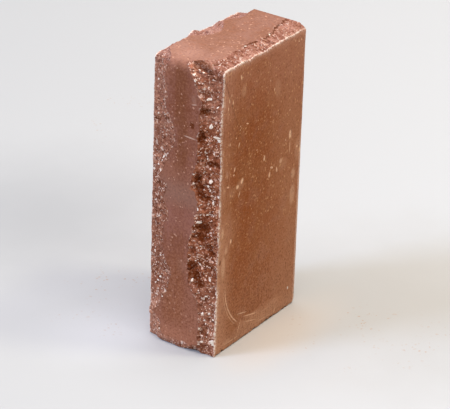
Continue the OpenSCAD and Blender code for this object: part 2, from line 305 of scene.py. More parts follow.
# the plain back and the plain end carry the same columns on round, so the skin closes on itself
x_last, x_first = x_face[-1:], x_face[:1]
f_back = np.linspace(0, 1, rows_back)[:, None]
x_back = x_last + (x_first - x_last) * f_back
y_back = width / 2 + 0 * x_back
z_back = (z_face[-1:] - edge_wear) * (1 - f_back) + 1.2 * edge_wear * f_back
f_foot = np.linspace(0, 1, rows_foot)[:, None]
x_foot = x_first + 0 * f_foot
y_foot = (width / 2 - 1.8 * edge_wear) * (1 - f_foot) + (y_face[:1] + edge_wear) * f_foot
z_foot = 0 * x_foot

grid_x = np.vstack([x_face, x_back, x_foot])
grid_y = np.vstack([y_face, y_back, y_foot])
grid_z = np.vstack([z_face, z_back, z_foot])
n_face, n_back, n_foot = len(x_face), len(x_back), len(x_foot)
n_rows, n_cols = grid_x.shape

# worn plain edges: the end columns come in from the bed by the wear, as the facing ones do by the nose
plain_rows = np.arange(n_back + n_foot) * 1.0
wear = edge_wear * (1 + 0.35 * swell(plain_rows, 0 * plain_rows, 2.5, 3))
# one bed's lower edge is finely nicked, and has these deeper nicks: place along, depth and half width
foot_nicks = [(46.5, 0.8, 1.2), (43, 0.6, 1.2), (25.5, 2.1, 1.8), (19.8, 1.7, 1.5), (12.6, 1.1, 1.4),
              (3, 0.7, 1.5), (-43, 1.3, 1.6), (-48.5, 0.9, 1.4)]
along = y_foot[:, 0]
nicks = 1.1 * np.clip(swell(along, 0 * along, 2.1, 29) + 0.1, 0, 1)
for at, deep, half in foot_nicks:
    nicks += deep * np.exp(-((along - at) / half) ** 2)
wear_nicked = wear.copy()
wear_nicked[n_back:] += nicks
grid_x[n_face:, 0] = -thick / 2 + wear
grid_x[n_face:, -1] = thick / 2 - wear_nicked


def bed(column, x, wear):
    """One bed as rings from the skin's end column in to the middle: each ring lies at
    middle + (edge - middle) (1 - t), with t small beside the edge. Gives rings of x, y and z."""
    y, z = grid_y[:, column].copy(), grid_z[:, column].copy()
    a = math.pi / 2 * turned(s_row[:, 0])
    y[:n_face] += arris_inset * np.cos(a)
    z[:n_face] -= arris_inset * np.sin(a)
    y[n_face:n_face + n_back] -= wear[:n_back]
    z[n_face + n_back:] += wear[n_back:]
    z[:2] = np.maximum(z[:2], wear[-1])
    t = np.array([0, 0.006, 0.016, 0.035, 0.07, 0.14, 0.26, 0.42, 0.6, 0.8])[:, None]
    return x + 0 * (t * y), y * (1 - t), length / 2 + (z - length / 2) * (1 - t)


rings_l = bed(0, -thick / 2, wear)
rings_r = bed(-1, thick / 2, wear_nicked)
n_rings = rings_l[0].shape[0]
points = np.vstack([
    np.stack([grid_x, grid_y, grid_z], -1).reshape(-1, 3),
    np.stack(rings_l, -1).reshape(-1, 3), np.stack(rings_r, -1).reshape(-1, 3),
    [[-thick / 2, 0, length / 2], [thick / 2, 0, length / 2]]])

# the knocked corner at the foot of the back: points nearer than this to the three faces' meeting slide in
short = knocked_corner - ((thick / 2 - points[:, 0]) + (width / 2 - points[:, 1]) + points[:, 2])
points += np.clip(short, 0, None)[:, None] * np.array([-1, -1, 1]) / 3

# where each face lies on the flat map, in mm: the facing strip, then the back and the end, then each bed
sheet, gap = 394.0, 3.0
skin = np.arange(n_rows * n_cols).reshape(n_rows, n_cols)
ring_l = n_rows * n_cols + np.arange(n_rings * n_rows).reshape(n_rings, n_rows)
ring_r = ring_l + n_rings * n_rows
pole_l = n_rows * n_cols + 2 * n_rings * n_rows
pole_r = pole_l + 1
corners, places = [], []


def add_quads(a, b, c, d, where):
    """Adds the quads a b c d (arrays of point numbers), with where(points) giving their map places."""
    quads = np.stack([a, b, c, d], -1).reshape(-1, 4)
    corners.append(quads)
    places.append(where(quads))


def on_strip(q):
    """Facing strip: path along, thickness across."""
    r, c = np.divmod(q, n_cols)
    r = np.minimum(r, n_face - 1)
    return np.stack([s_row[r, 0] + gap, x_face[r, c] + thick / 2 + gap], -1)


def flat_place(along, across, left, bottom):
    """A flat side seen square on: two of its coordinates moved to a place on the map."""
    return lambda q: np.stack([points[q, along] + left, points[q, across] + bottom], -1)


on_back = flat_place(2, 0, gap, thick * 1.5 + 3 * gap)
on_foot = flat_place(1, 0, length + width / 2 + 3 * gap, thick * 1.5 + 3 * gap)
on_bed_l = flat_place(2, 1, gap, 2 * thick + 5 * gap + width / 2)
on_bed_r = flat_place(2, 1, gap, 2 * thick + 7 * gap + width * 1.5)

up = np.roll(skin, -1, axis=0)
back_from, foot_from = n_face - 1, n_face + n_back - 1
for first, last, where in (
        (0, back_from, on_strip), (back_from, foot_from, on_back), (foot_from, n_rows, on_foot)):
    add_quads(skin[first:last, :-1], skin[first:last, 1:], up[first:last, 1:], up[first:last, :-1], where)
up_l, up_r = np.roll(ring_l, -1, axis=1), np.roll(ring_r, -1, axis=1)
add_quads(ring_l[0], skin[:, 0], up[:, 0], up_l[0], on_bed_l)
add_quads(skin[:, -1], ring_r[0], up_r[0], up[:, -1], on_bed_r)
add_quads(ring_l[1:], ring_l[:-1], up_l[:-1], up_l[1:], on_bed_l)
add_quads(ring_r[:-1], ring_r[1:], up_r[1:], up_r[:-1], on_bed_r)
fan_l = np.stack([np.full(n_rows, pole_l), ring_l[-1], up_l[-1]], -1)
fan_r = np.stack([ring_r[-1], np.full(n_rows, pole_r), up_r[-1]], -1)

quads = np.vstack(corners)
fans = np.vstack([fan_l, fan_r])
loops = np.concatenate([quads.ravel(), fans.ravel()])
places += [on_bed_l(fan_l), on_bed_r(fan_r)]
uv = np.vstack([part.reshape(-1, 2) for part in places]) / sheet
starts = np.concatenate([np.arange(len(quads)) * 4, len(quads) * 4 + np.arange(len(fans)) * 3])

mesh = bpy.data.meshes.new("brick_stone")
mesh.vertices.add(len(points))
mesh.vertices.foreach_set("co", (points / 1000).ravel())
mesh.loops.add(len(loops))
mesh.loops.foreach_set("vertex_index", loops)
mesh.polygons.add(len(starts))
mesh.polygons.foreach_set("loop_start", starts)
mesh.polygons.foreach_set("use_smooth", np.ones(len(starts), dtype=bool))
mesh.uv_layers.new(name="OFBake").data.foreach_set("uv", uv.ravel())
mesh.update(calc_edges=True)


def mark(name, on_skin):
    """Stores one number a point: the skin's own values, and 0 over the beds."""
    values = np.zeros(len(points))
    values[:on_skin.size] = on_skin.ravel()
    mesh.attributes.new(name, "FLOAT", "POINT").data.foreach_set("value", values)
    return values


rest = np.zeros((n_back + n_foot, n_cols))
mark("broken", np.vstack([broken, rest]))
mark("grain", np.vstack([grain, rest]))
# painted shade of the margins' holes, crack and hollows
mark("pit_shade", np.vstack([np.clip(rough, -1.5, 3) * broken, rest]))
mark("facing", np.vstack([np.ones_like(x_face), rest]))
mark("header", np.vstack([turned(s_face), rest]))
to_rim = np.minimum(x_face - x_left[:, -1:], x_right[:, :1] - x_face)
mark("haze", np.vstack([np.exp(-np.clip(to_rim, 0, 30) / 6.0) * (1 - 0.2 * (x_face > 0)), rest]))
# the crushed line covers each arris and fades over the bed's outer rings, sooner along the header
crushed_row = np.interp(s_row, *zip(*crushed_along))
from_arris = (thick / 2 - np.abs(x_face)) / (0.7 + 0.4 * turned(s_face))
crushed = mark("crushed", np.vstack([np.clip(1.4 - from_arris, 0, 1) * crushed_row, rest]))
for ring, by_stretcher, by_header in ((0, 1, 1), (1, 0.8, 0.3), (2, 0.4, 0.05), (3, 0.12, 0)):
    fade = by_stretcher + (by_header - by_stretcher) * turned(s_row)
    for start in (ring_l[ring, 0], ring_r[ring, 0]):
        crushed[start:start + n_face] = (fade * crushed_row)[:, 0]
mesh.attributes["crushed"].data.foreach_set("value", crushed)
mesh.set_sharp_from_angle(angle=math.radians(34))
mesh.validate()

brick = bpy.data.objects.new("brick_stone", mesh)
bpy.context.scene.collection.objects.link(brick)
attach(brick, "root")
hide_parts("brick")


class Tap:
    """One output of a shader node. Arithmetic on it adds Math nodes, and node() adds any other kind."""

    tree = None

    def __init__(self, socket):
        self.socket = socket

    @classmethod
    def node(cls, kind, settings=None, inputs=None, out=0):
        made = cls.tree.nodes.new(kind)
        for key, value in (settings or {}).items():
            setattr(made, key, value)
        for key, value in (inputs or {}).items():
            if isinstance(value, Tap):
                cls.tree.links.new(value.socket, made.inputs[key])
            else:
                made.inputs[key].default_value = value
        return cls(made.outputs[out])

    @classmethod
    def maths(cls, operation, *terms):
        return cls.node("ShaderNodeMath", {"operation": operation}, dict(enumerate(terms)))

    def __add__(self, other):
        return Tap.maths("ADD", self, other)

    def __sub__(self, other):
        return Tap.maths("SUBTRACT", self, other)

    def __rsub__(self, other):
        return Tap.maths("SUBTRACT", other, self)

    def __mul__(self, other):
        return Tap.maths("MULTIPLY", self, other)

    def __abs__(self):
        return Tap.maths("ABSOLUTE", self)

    __radd__ = __add__
    __rmul__ = __mul__


def srgb(red, green, blue):
    """A paint-chart colour, 0 to 255, as the linear colour a shader takes."""
    return tuple(
        v / 12.92 if v <= 0.04045 else ((v + 0.055) / 1.055) ** 2.4
        for v in (red / 255, green / 255, blue / 255)
    ) + (1.0,)


def step(value, low_edge, high_edge):
    """Eased step: 0 below the low edge, 1 above the high edge."""
    return Tap.node("ShaderNodeMapRange", {"interpolation_type": "SMOOTHSTEP"},
                    {"Value": value, "From Min": low_edge, "From Max": high_edge})


def within(value, middle, half, soft, ragged=0.0):
    """One about the middle, easing to nothing over the soft distance inside middle - half and
    middle + half; ragged moves those two ends."""
    reach_in = half - abs(value - middle)
    return step(reach_in + ragged if isinstance(ragged, Tap) else reach_in, 0.0, soft)


def blend(share, under, over):
    """Colour under, covered with colour over by the share."""
    return Tap.node("ShaderNodeMix", {"data_type": "RGBA"}, {0: share, 6: under, 7: over}, out=2)


def attribute(name):
    """One of the numbers stored at the mesh's points."""
    return Tap.node("ShaderNodeAttribute", {"attribute_name": name}, out="Fac")


stone = bpy.data.materials.new("pressed_brick")
stone.use_nodes = True
Tap.tree = stone.node_tree
skin_shader = stone.node_tree.nodes["Principled BSDF"]

metres = Tap.node("ShaderNodeTexCoord", out="Object")
place = Tap.node("ShaderNodeVectorMath", {"operation": "SCALE"}, {0: metres, "Scale": 1000.0})
in_x, in_y, in_z = (Tap.node("ShaderNodeSeparateXYZ", {}, {0: place}, out=axis) for axis in range(3))


def noise(size, detail=2.0, stretch=(1, 1, 1), shift=0.0):
    """Cloudy noise about 0.5, with features of this size in mm, drawn out by stretch."""
    at = Tap.node("ShaderNodeMapping", {}, {
        "Vector": place, "Location": (shift, shift * 1.3, shift * 0.7),
        "Scale": tuple(1 / (size * k) for k in stretch)})
    return Tap.node("ShaderNodeTexNoise", {}, {
        "Vector": at, "Scale": 1.0, "Detail": detail, "Roughness": 0.6})


def cells(size, shift=0.0):
    """Angular grains of this size in mm packed side by side: each grain's own number, 0 to 1."""
    at = Tap.node("ShaderNodeMapping", {}, {
        "Vector": ruffled, "Location": (shift, shift * 0.6, shift * 1.7), "Scale": (1 / size,) * 3})
    dice = Tap.node("ShaderNodeTexVoronoi", {}, {"Vector": at, "Scale": 1.0}, out="Color")
    return Tap.node("ShaderNodeSeparateColor", {}, {0: dice})


def blot(at, half, lean, wander=0.7):
    """A soft oval mark at a place in mm, with these half sizes along y and z (or x and z on the
    stretcher), leaning by this many degrees; its edge wanders with fine noise."""
    on_bed = at[0] > 32
    turn, wide, tall = math.radians(lean), half[0] * 1.5, half[1] * 1.5
    scaled = Tap.node("ShaderNodeMapping", {"vector_type": "TEXTURE"}, {
        "Vector": place, "Location": at, "Rotation": (turn, 0, 0) if on_bed else (0, -turn, 0),
        "Scale": (30, wide, tall) if on_bed else (wide, 30, tall)})
    near = Tap.node("ShaderNodeTexGradient", {"gradient_type": "SPHERICAL"}, {"Vector": scaled}, out="Fac")
    return step(near * 1.5 - 0.15 - fine * wander, 0.0, 0.6)


is_broken, is_facing, haze = attribute("broken"), attribute("facing"), attribute("haze")
ruffle = Tap.node("ShaderNodeTexNoise", {}, {"Vector": place, "Scale": 0.6, "Detail": 2.0}, out="Color")
ruffled = Tap.node("ShaderNodeVectorMath", {"operation": "MULTIPLY_ADD"}, {
    0: ruffle, 1: (1.8, 1.8, 1.8), 2: place})
cloud = step(noise(26, 3.0), 0.36, 0.66)
fine = noise(1.7, 3.0, shift=4.0)
blotch = noise(4.5, 3.0, shift=21.0)
drawn = noise(1.6, 2.0, stretch=(1, 1, 8), shift=9.0)
small = cells(1.15, 5.0)

# the beds: brown skin dragged up and down by the mould, bluer in faint clouds, dusty towards its edges
bed_skin = blend(cloud, srgb(140, 72, 26), srgb(145, 83, 42))
bed_skin = blend(step(noise(15, 2.0, shift=33.0), 0.5, 0.7) * 0.4, bed_skin, srgb(152, 96, 70))
bed_skin = blend(step(drawn, 0.5, 0.78) * 0.2, bed_skin, srgb(166, 108, 66))
bed_skin = blend(step(1 - drawn, 0.5, 0.78) * 0.15, bed_skin, srgb(108, 54, 22))
mottled = step(noise(2.8, 3.0, stretch=(1, 1, 1.6), shift=61.0), 0.5, 0.7)
bed_skin = blend(mottled * 0.25, bed_skin, srgb(158, 102, 66))
ragged_y, ragged_z = in_y + (blotch - 0.5) * 8, in_z + (blotch - 0.5) * 10
# dust: along the stretcher's side, the far side, the top and the foot, and a patch half way up
to_left = step(-30 - ragged_y, 0.0, 24.0)
dust = to_left * (0.36 + step(125 - in_z, 0.0, 50.0) * 0.34) + step(ragged_y + 8, 0.0, 60.0) * 0.34
dust = dust + step(ragged_z - 185, 0.0, 50.0) * 0.26 * (1 - step(ragged_y, 16.0, 46.0) * 0.55)
dust = dust + step(115 - ragged_z, 0.0, 70.0) * 0.1 + step(in_z + (fine - 0.5) * 3 - 238, 0.0, 8.0) * 0.28
patch = Tap.node("ShaderNodeTexGradient", {"gradient_type": "SPHERICAL"}, {"Vector": Tap.node(
    "ShaderNodeMapping", {"vector_type": "TEXTURE"}, {
        "Vector": place, "Location": (thick / 2, -46, 106), "Scale": (90, 40, 36)})}, out="Fac")
dust = dust + step(patch * 1.8 - (blotch - 0.5) - 0.5, 0.0, 1.0) * 0.25
# pale smears dragged across the foot
dragged = noise(2.2, 3.0, stretch=(1, 12, 1), shift=71.0)
smeared = step(20 - in_z + ragged_y * 0.03, 0.0, 4.0) * step(ragged_y, -26.0, -19.0)
smeared = smeared * (0.26 + step(dragged, 0.4, 0.62) * 0.5) * (1 - step(in_y, 28.0, 40.0) * 0.8)
smeared = smeared * step(in_x, 20.0, 30.0)
smeared = smeared + step(10 - ragged_z * 0.5, 0.0, 10.0) * (0.28 - step(in_y, 10.0, 30.0) * 0.14)
dust_colour = blend(step(in_z, 150, 220), srgb(190, 136, 103), srgb(190, 133, 107))
bed_skin = blend(dust + smeared, bed_skin, dust_colour)
# the bed at +X only: its worn and nicked lower edge with a painted shadow along it where it meets the
# table, the bloom above it and its pale far edge
on_view = step(in_x, 31.0, 32.2)
worn_edge = step(1.6 - in_z + (blotch - 0.5) * 5, 0.0, 1.0) * on_view
worn_edge = worn_edge * (0.65 - step(in_y, -16.0, 0.0) * 0.3 + step(in_y, 40.0, 52.0) * 0.4)
bed_skin = blend(worn_edge, bed_skin, srgb(192, 150, 134))
foot_bloom = step(16 - in_z + (blotch - 0.5) * 10, 0.0, 12.0) * 0.34 * step(in_y, -46.0, -30.0) * on_view
foot_bloom = foot_bloom + step(58 - ragged_z, 0.0, 34.0) * 0.2
bed_skin = blend(foot_bloom, bed_skin, srgb(172, 126, 98))
# painted shadow: a dark ragged line in the nicks along the lower edge, where the bed meets the table
painted_nick_shadow = step(1.2 - in_z + (blotch - 0.5) * 4 + (fine - 0.5) * 3, 0.0, 0.5)
painted_nick_shadow = painted_nick_shadow * on_view * step(in_y, -45.0, -20.0)
bed_skin = blend(painted_nick_shadow * (0.85 - step(in_y, 40.0, 50.0) * 0.6), bed_skin, srgb(86, 50, 36))
far_rim = step(in_y + (fine - 0.5) * 2, 56.4, 58.0) * (0.25 + step(170 - in_z, 0, 50) * 0.75)
far_rim = far_rim * on_view
bed_skin = blend(far_rim, bed_skin, srgb(203, 163, 142))
# upright scratches beside the stretcher, from half way up
scratchy = step(-38 - ragged_y, 0.0, 9.0) * step(ragged_z, 125.0, 160.0)
bed_skin = blend(step(drawn, 0.55, 0.68) * scratchy * 0.5, bed_skin, srgb(204, 156, 126))
bed_skin = blend(step(1 - drawn, 0.57, 0.7) * scratchy * 0.45, bed_skin, srgb(112, 56, 36))

# scuffs on the bed at +X: y, z, half width, half height, lean in degrees and strength
marks = [
    (-30, 235.3, 1.1, 2.9, 16, 0.6), (-25.7, 222.7, 4, 7, 0, 0.1), (17.3, 208.6, 0.7, 1.6, -14, 0.6),
    (40.9, 182.3, 0.8, 0.9, 0, 0.7), (11, 218.2, 0.6, 1.3, 0, 0.4), (-42.5, 224.5, 0.7, 1.5, 0, 0.5),
    (-45.2, 220.7, 0.8, 2.6, 8, 0.55), (-40.2, 217.6, 0.8, 2.2, -6, 0.5),
    (-46.4, 214.5, 0.8, 1.8, 0, 0.5), (-19.4, 192.6, 2.2, 0.7, -24, 0.6),
    (-28.9, 193.7, 0.9, 0.8, 0, 0.4), (-34.3, 185.5, 0.8, 0.9, 0, 0.6), (-29.2, 190.7, 0.7, 0.8, 0, 0.5),
    (-30, 178.5, 0.8, 2.4, -24, 0.65), (6.4, 153.1, 1.3, 2.9, -8, 1), (17.5, 140.5, 2.8, 1.2, -24, 0.65),
    (25, 136, 1.2, 3.2, 14, 0.75), (30.5, 141.6, 2.6, 3, 0, 0.28), (14.7, 135.2, 1.6, 3.4, -8, 0.45),
    (42.8, 160.5, 2.1, 4.6, 0, 0.8), (42.9, 149, 0.9, 7.5, 0, 0.3), (-35.2, 159, 1.1, 2.6, -14, 0.5),
    (-36.1, 154.4, 1.3, 1, 0, 0.6), (-24.3, 145, 2, 2.9, -24, 0.9), (-30.5, 142.1, 2.2, 2.2, -15, 0.55),
    (-43.7, 146.9, 2.4, 1, -20, 0.55), (-27.6, 134.6, 0.9, 3.4, -24, 0.45),
    (36.5, 157.6, 0.6, 1.1, 0, 0.7), (53.9, 145.8, 1.6, 1.4, 0, 0.4), (49.5, 123.3, 4, 6, 0, 0.22),
    (49.6, 104.3, 5, 12, 0, 0.2), (-4.7, 164.3, 1.6, 0.5, -12, 0.4), (-37.4, 97.1, 1.3, 2.4, 0, 0.9),
    (-47, 78, 3.5, 13, 0, 0.2), (-18, 24, 9, 0.8, -14.6, 0.4), (-6.5, 17.4, 13, 0.7, -14.6, 0.45),
    (-6, 11.6, 13, 0.6, -17.5, 0.35), (30.1, 5.3, 0.6, 3.6, -28, 0.4), (-21.4, 13.4, 0.6, 7.6, -25, 0.45),
    (-43.7, 91, 2.5, 4.5, 0, 0.18), (-49.3, 108.5, 2.2, 6, 0, 0.3), (58, 141.3, 1.2, 3, 0, 0.4),
    (-42.7, 183, 0.9, 1.8, 0, 0.4), (22, 208, 6, 11, 10, 0.06), (53.5, 239, 0.8, 1.2, 20, 0.9),
    (45, 240.5, 0.5, 1.3, 0, 0.7), (50, 238.5, 1.6, 0.6, -24, 0.5), (14.5, 5.0, 14, 0.6, -4.3, 0.3),
    (-31, 5.0, 13, 0.8, -1, 0.28), (-39, 6.8, 8, 3.2, 0, 0.12), (55, 143, 6, 14, 0, 0.1),
    (-27, 142, 7, 6, -24, 0.09), (-37, 140, 7, 7, 0, 0.06), (34, 137, 8, 8, 0, 0.06),
    (2, 12, 26, 6, -10, 0.07)]
rubbed = 0.0
for y, z, half_y, half_z, lean, strength in marks:
    rubbed = blot((thick / 2, y, z), (half_y, half_z), lean) * strength + rubbed
# the double curved scratch: two arcs about y 7, z 58, kept to the bed's lower corner
from_middle = Tap.node("ShaderNodeVectorMath", {"operation": "DISTANCE"}, {
    0: Tap.node("ShaderNodeVectorMath", {"operation": "MULTIPLY"}, {0: place, 1: (0.3, 1, 1)}),
    1: (0.3 * thick / 2, 7, 58)}, out="Value")
swept = within(from_middle, 50.2, 0.8, 0.5) + within(from_middle, 52.6, 0.7, 0.5) * 0.45
swept = swept * step(in_z, 17, 20) * step(64 - in_z, 0, 20) * step(-22 - in_y, 0, 6) * step(in_x, 30, 32)
bed_skin = blend(rubbed * 2.0 + swept * 0.85, bed_skin, srgb(224, 178, 142))
# one white speck low down and one dark nick beside the arris
bed_skin = blend(blot((thick / 2, 49.3, 17.8), (0.8, 1.3), 0, 0.2), bed_skin, srgb(240, 240, 236))
bed_skin = blend(blot((thick / 2, -51.5, 83.8), (1.0, 2.4), 0, 0.2) * 0.8, bed_skin, srgb(84, 38, 16))

# the facing bands: duller and pinker, browner up the middle, with a grey bloom towards the split edges
band_skin = blend(cloud, srgb(133, 76, 54), srgb(141, 86, 66))
band_skin = blend(step(blotch, 0.5, 0.7) * 0.3, band_skin, srgb(158, 106, 94))
band_skin = blend(step(1 - blotch, 0.5, 0.7) * 0.3, band_skin, srgb(112, 60, 36))
up_middle = within(in_x, -2.5, 10, 8.0, (cloud - 0.5) * 3) * step(in_z, 60, 150)
band_skin = blend(up_middle * 0.7, band_skin, srgb(122, 68, 38))
band_skin = blend(haze * step(blotch, 0.3, 0.6) * 0.7, band_skin, srgb(152, 102, 88))
bloom = step(ragged_z - 226, 0.0, 14.0) * step(-5 - in_x + (blotch - 0.5) * 8, 0.0, 12.0) * 0.4
bloom = bloom + within(ragged_z, 146, 36, 30.0) * step(2 - in_x, 0.0, 12.0) * 0.25
bloom = bloom + step(24 - ragged_z, 0.0, 14.0) * (0.65 - step(in_x, -6.0, 6.0) * 0.3)
bloom = bloom + within(in_z, 142, 24, 16.0) * 0.32
band_skin = blend(bloom + step(110 - in_z, 0.0, 110.0) * 0.45, band_skin, srgb(178, 116, 90))
# scrapes on the stretcher's band: x, z, half width, half height, lean and strength; then an orange
# inclusion and a sunk brown spot
front = -width / 2
for x, z, half_x, half_z, lean, strength in (
        (1, 74, 6, 9, 0, 0.1),
        (6.9, 188, 7.5, 0.9, -3, 0.95), (9.9, 221, 3, 5, 10, 0.15), (10.2, 216.7, 3.4, 0.8, 12, 0.8)):
    scrape = blot((x, front, z), (half_x, half_z), lean)
    band_skin = blend(scrape * strength, band_skin, srgb(200, 164, 146))
band_skin = blend(blot((9.9, front, 145), (2.6, 1.6), 0, 0.2), band_skin, srgb(210, 124, 82))
sunk_spot = blot((8.6, front, 198.8), (2.2, 3.2), 20, 0.25)
band_skin = blend(sunk_spot, band_skin, srgb(102, 46, 18))
# the header's band is paler, partly with pale dust and partly with painted sheen, most of all beside the
# outer corner
header_skin = blend(cloud, srgb(144, 98, 78), srgb(153, 109, 93))
header_dust_and_sheen = step(8 - in_x, 0.0, 22.0) * step(-12 - in_y, 0.0, 34.0) * 0.75
streak = within(in_y - in_x * 0.4, -12, 5, 7.0) * step(in_x + 8, 0.0, 10.0)
header_dust_and_sheen = header_dust_and_sheen + streak * 0.4
near_arc = within(in_y - in_x * 0.25, -46, 18, 14.0) * within(in_x, -4, 13, 10.0)
header_dust_and_sheen = header_dust_and_sheen * 0.85 + near_arc * 0.5 + step(in_x, 2.0, 10.0) * step(-8 - in_y, 0.0, 10.0) * 0.4
header_skin = blend(header_dust_and_sheen * (0.55 + 0.45 * step(blotch, 0.3, 0.6)), header_skin, srgb(179, 133, 117))
header_skin = blend(step(blotch, 0.5, 0.7) * 0.35, header_skin, srgb(148, 88, 60))
band_skin = blend(attribute("header"), band_skin, header_skin)
# clouds up the stretcher's band: one brown and low, then height, half height, fade, strength and colour
low_down = step(125 - in_z, 0.0, 60.0) * (1 - attribute("header"))
brown_low = within(in_x, -6, 14, 9.0, (blotch - 0.5) * 8) * step(95 - in_z, 0.0, 30.0)
band_skin = blend(brown_low * step(in_z, 14.0, 30.0) * 0.4, band_skin, srgb(142, 82, 46))
for z, half, soft, strength, shade in (
        (116, 20, 14.0, 0.35, (168, 112, 100)), (142, 26, 18.0, 0.5, (138, 90, 74)),
        (137, 16, 14.0, 0.5, (150, 112, 98))):
    cloudy = within(ragged_z, z, half, soft) * (1 - attribute("header"))
    band_skin = blend(cloudy * strength, band_skin, srgb(*shade))
crumbs = step(small, 0.975, 0.98) * (0.5 + step(in_z, 55.0, 90.0) * 0.2)
band_skin = blend(crumbs, band_skin, srgb(214, 162, 136))
band_skin = blend(step(1 - small, 0.94, 0.96) * low_down * 0.2, band_skin, srgb(112, 60, 38))
band_skin = blend(step(drawn, 0.5, 0.75) * 0.3 * (1 - attribute("header")), band_skin, srgb(148, 96, 82))

# over every pressed face: blotches low down, fine mottling, pale crumbs and dark pores
fine_share = 0.36 - is_facing * 0.04 + step(90 - in_z, 0.0, 40.0) * 0.14
skin_colour = blend(is_facing, bed_skin, band_skin)
low_here = step(90 - in_z, 0.0, 40.0) * 0.16
skin_colour = blend(step(blotch, 0.5, 0.66) * low_here, skin_colour, srgb(172, 118, 88))
skin_colour = blend(step(1 - blotch, 0.5, 0.66) * low_here, skin_colour, srgb(96, 48, 26))
skin_colour = blend(step(fine, 0.48, 0.68) * fine_share, skin_colour, srgb(176, 120, 90))
skin_colour = blend(step(1 - fine, 0.48, 0.68) * fine_share, skin_colour, srgb(102, 52, 28))
salt = step(small, 0.965, 0.975) * (1 - is_facing)
skin_colour = blend(salt * (0.7 - step(110 - in_z, 0.0, 40.0) * 0.4), skin_colour, srgb(196, 142, 98))
pore = step(1 - small, 0.94, 0.96) * (1 - is_facing * 0.75)
skin_colour = blend(pore * 0.32, skin_colour, srgb(98, 50, 24))

# the broken mix: dull pink-brown, with painted shade in its holes, rim crack and hollows, packed with
# angular paler and darker grains
crumb = noise(1.1, 3.0, shift=17.0)
facet = cells(3.8, 31.0)
packed, large, tiny = cells(1.8, 3.0), cells(2.5, 13.0), cells(0.85, 47.0)
shown = step(in_x, -6.0, 6.0)
quiet = shown * step(in_z, 198.0, 210.0) * (1 - attribute("header"))
mottle = step(noise(6, 3.0, stretch=(1.5, 1, 1), shift=14.0), 0.4, 0.6)
ledge = noise(2.8, 4.0, stretch=(2.2, 1, 1), shift=6.0)
# painted shade: where the holes, the rim crack and the hollows are painted dark
pit_shade = step(attribute("pit_shade") + (crumb - 0.5) * 0.9, 0.15, 1.15)
calm = 1 - attribute("header") * 0.55 - quiet * 0.3
cluster = 0.45 + step(noise(8, 2.0, shift=90.0), 0.42, 0.58) * 0.65
fewer_left = step(-6 - in_x, 0.0, 10.0) * (0.15 + step(in_z, 165.0, 180.0) * 0.25)
seen = (1 - pit_shade * 0.75) * cluster * (1 - fewer_left)
pale = calm * seen
break_colour = blend(mottle, blend(shown, srgb(124, 76, 62), srgb(120, 68, 50)),
                     blend(shown, srgb(160, 112, 98), srgb(172, 122, 106)))
paler_top = step(-6 - in_x, 0.0, 8.0) * step(in_z, 160.0, 180.0)
break_colour = blend(paler_top * 0.3, break_colour, srgb(186, 142, 132))
darker_left = step(in_z, 20.0, 60.0) * 0.08 + step(in_z, 162.0, 172.0) * 0.38
break_colour = blend(step(-6 - in_x, 0.0, 8.0) * step(208 - in_z, 0.0, 25.0) * darker_left,
                     break_colour, srgb(108, 60, 42))
paler_foot = step(-6 - in_x, 0.0, 8.0) * step(46 - in_z, 0.0, 26.0)
break_colour = blend(paler_foot * 0.85, break_colour, srgb(192, 144, 128))
# stretches of other colours in the stretcher's margins: side, height, half height, strength and colour
for side, z, half, strength, shade in (
        (-1, 57, 9, 0.4, (108, 60, 42)), (-1, 28, 12, 0.35, (214, 166, 150)),
        (-1, 156, 9, 0.35, (200, 152, 136)), (1, 199, 8, 0.35, (96, 48, 26)),
        (1, 79, 21, 0.4, (96, 48, 26))):
    stretch = step(in_x * side - 8, 0.0, 8.0) * within(in_z, z, half, 0.5 * half)
    break_colour = blend(stretch * strength, break_colour, srgb(*shade))
break_colour = blend(facet * 0.35, break_colour, srgb(182, 130, 112))
# painted light on the ledges' raised tops and painted shade below them, from the noise that raises them
break_colour = blend(step(ledge, 0.5, 0.7) * 0.4, break_colour, srgb(188, 138, 120))
break_colour = blend(step(1 - ledge, 0.5, 0.7) * 0.4, break_colour, srgb(104, 56, 38))
# the painted shade's colour, and its strength by height
pit_shade_colour = blend(step(in_z, 226.0, 240.0), srgb(112, 56, 18), srgb(100, 56, 36))
pit_shade_strength = 0.4 + step(in_z, 12.0, 20.0) * 0.3 + step(in_z, 35.0, 60.0) * 0.22
break_colour = blend(pit_shade * pit_shade_strength, break_colour, pit_shade_colour)
break_colour = blend(step(crumb, 0.52, 0.66) * 0.3, break_colour, srgb(200, 150, 130))
break_colour = blend(step(1 - crumb, 0.52, 0.66) * 0.45, break_colour, srgb(94, 46, 24))
break_colour = blend(step(packed, 0.82, 0.86) * 0.35 * calm, break_colour, srgb(196, 146, 124))
break_colour = blend(step(1 - packed, 0.9, 0.93) * 0.6 * calm, break_colour, srgb(92, 44, 20))
break_colour = blend(step(1 - small, 0.92, 0.95) * 0.5, break_colour, srgb(96, 46, 24))
# in the stretcher the mix is browner than under the header
browner = step(in_z, 45.0, 75.0) * (1 - quiet)
tint = blend(browner, (0.98, 0.83, 0.69, 1.0), (0.93, 0.67, 0.46, 1.0))
tint = blend(attribute("header"), blend(shown, (1.0, 0.86, 0.72, 1.0), tint), (1.0, 1.0, 1.0, 1.0))
break_colour = Tap.node("ShaderNodeMix", {"data_type": "RGBA", "blend_type": "MULTIPLY"},
                        {0: 1.0, 6: break_colour, 7: tint}, out=2)
